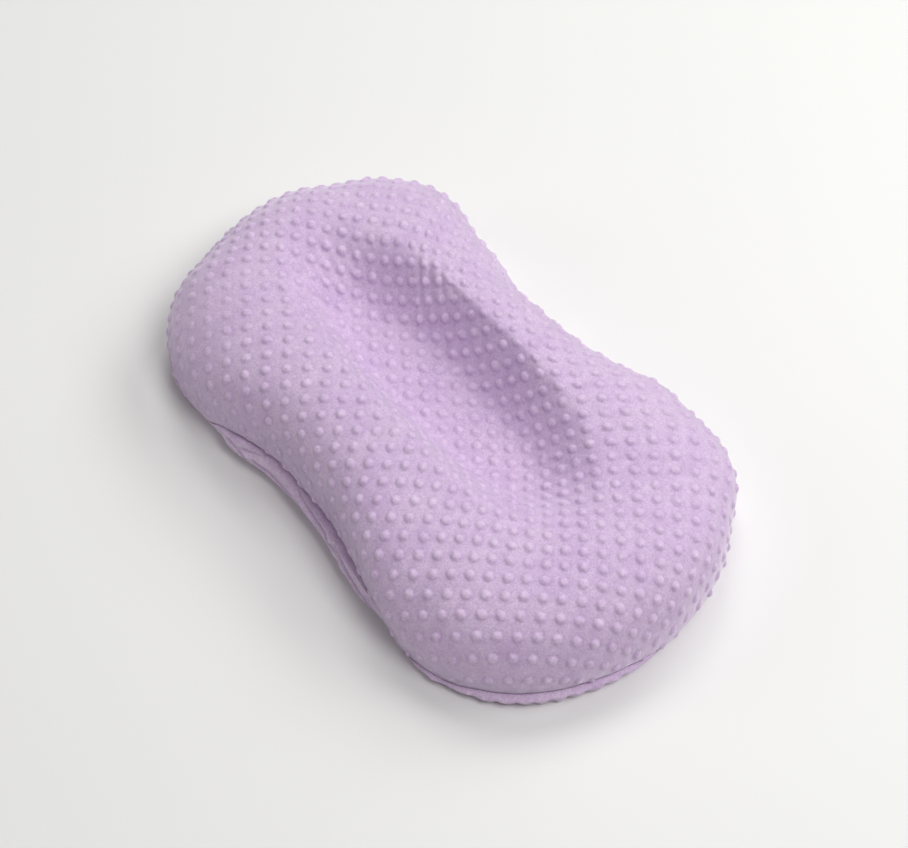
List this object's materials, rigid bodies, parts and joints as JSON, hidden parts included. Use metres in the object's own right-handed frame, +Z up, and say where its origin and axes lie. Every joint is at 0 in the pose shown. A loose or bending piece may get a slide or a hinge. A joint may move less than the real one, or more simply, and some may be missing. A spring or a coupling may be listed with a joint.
{
  "type": "infant lounger",
  "caption": "Plump hourglass-shaped infant lounger: a raised plush rim round a shallow recess, with a removable cover that zips shut underneath.",
  "frame": {"origin": "middle of the outline on the surface the lounger lies on", "axes": "+Z up, +Y towards the head end, X across the lounger"},
  "size_m": [0.3526, 0.6, 0.118],
  "materials": {
    "plush_top": "dimple-dot plush, soft brushed pile with raised dots",
    "plush_bottom": "dimple-dot plush, soft brushed pile with raised dots",
    "thread": "matte spun polyester thread",
    "satin_tag": "plain satin ribbon, blank",
    "zipper_tape": "plain woven polyester tape",
    "zipper_coil": "nylon monofilament",
    "zipper_metal": "lacquered die-cast metal",
    "casing_cloth": "plain woven cotton blend",
    "casing_thread": "matte spun polyester thread",
    "polyester_fill": "loose polyester fibre fill"
  },
  "bodies": {
    "root": {"cover_top_panel": "plush_top", "cover_bottom_panel_left": "plush_bottom", "cover_bottom_panel_right": "plush_bottom", "perimeter_seam_overlock": "thread", "care_tag": "satin_tag", "zipper_tape_left": "zipper_tape", "zipper_tape_right": "zipper_tape", "zipper_coil_left": "zipper_coil", "zipper_coil_right": "zipper_coil", "zipper_top_stop_left": "zipper_metal", "zipper_top_stop_right": "zipper_metal", "zipper_bottom_stop": "zipper_metal", "zipper_stitching_left": "thread", "zipper_stitching_right": "thread", "zipper_bar_tack_head": "thread", "zipper_bar_tack_foot": "thread", "casing_top_panel": "casing_cloth", "casing_bottom_panel": "casing_cloth", "casing_seam_overlock": "casing_thread", "recess_baffle": "casing_cloth", "fill_ring": "polyester_fill", "fill_centre_pad": "polyester_fill"},
    "slider": {"zipper_slider": "zipper_metal"},
    "pull_tab": {"zipper_pull_tab": "zipper_metal"}
  },
  "joints": [
    {"name": "slider_travel", "type": "slide", "parent": "root", "child": "slider", "axis": [0, 1, 0], "range_m": [0, 0.372]},
    {"name": "pull_tab_flip", "type": "hinge", "parent": "slider", "child": "pull_tab", "pos_m": [0, -0.185, 0.0046], "axis": [1, 0, 0], "range_deg": [-180, 0]}
  ]
}
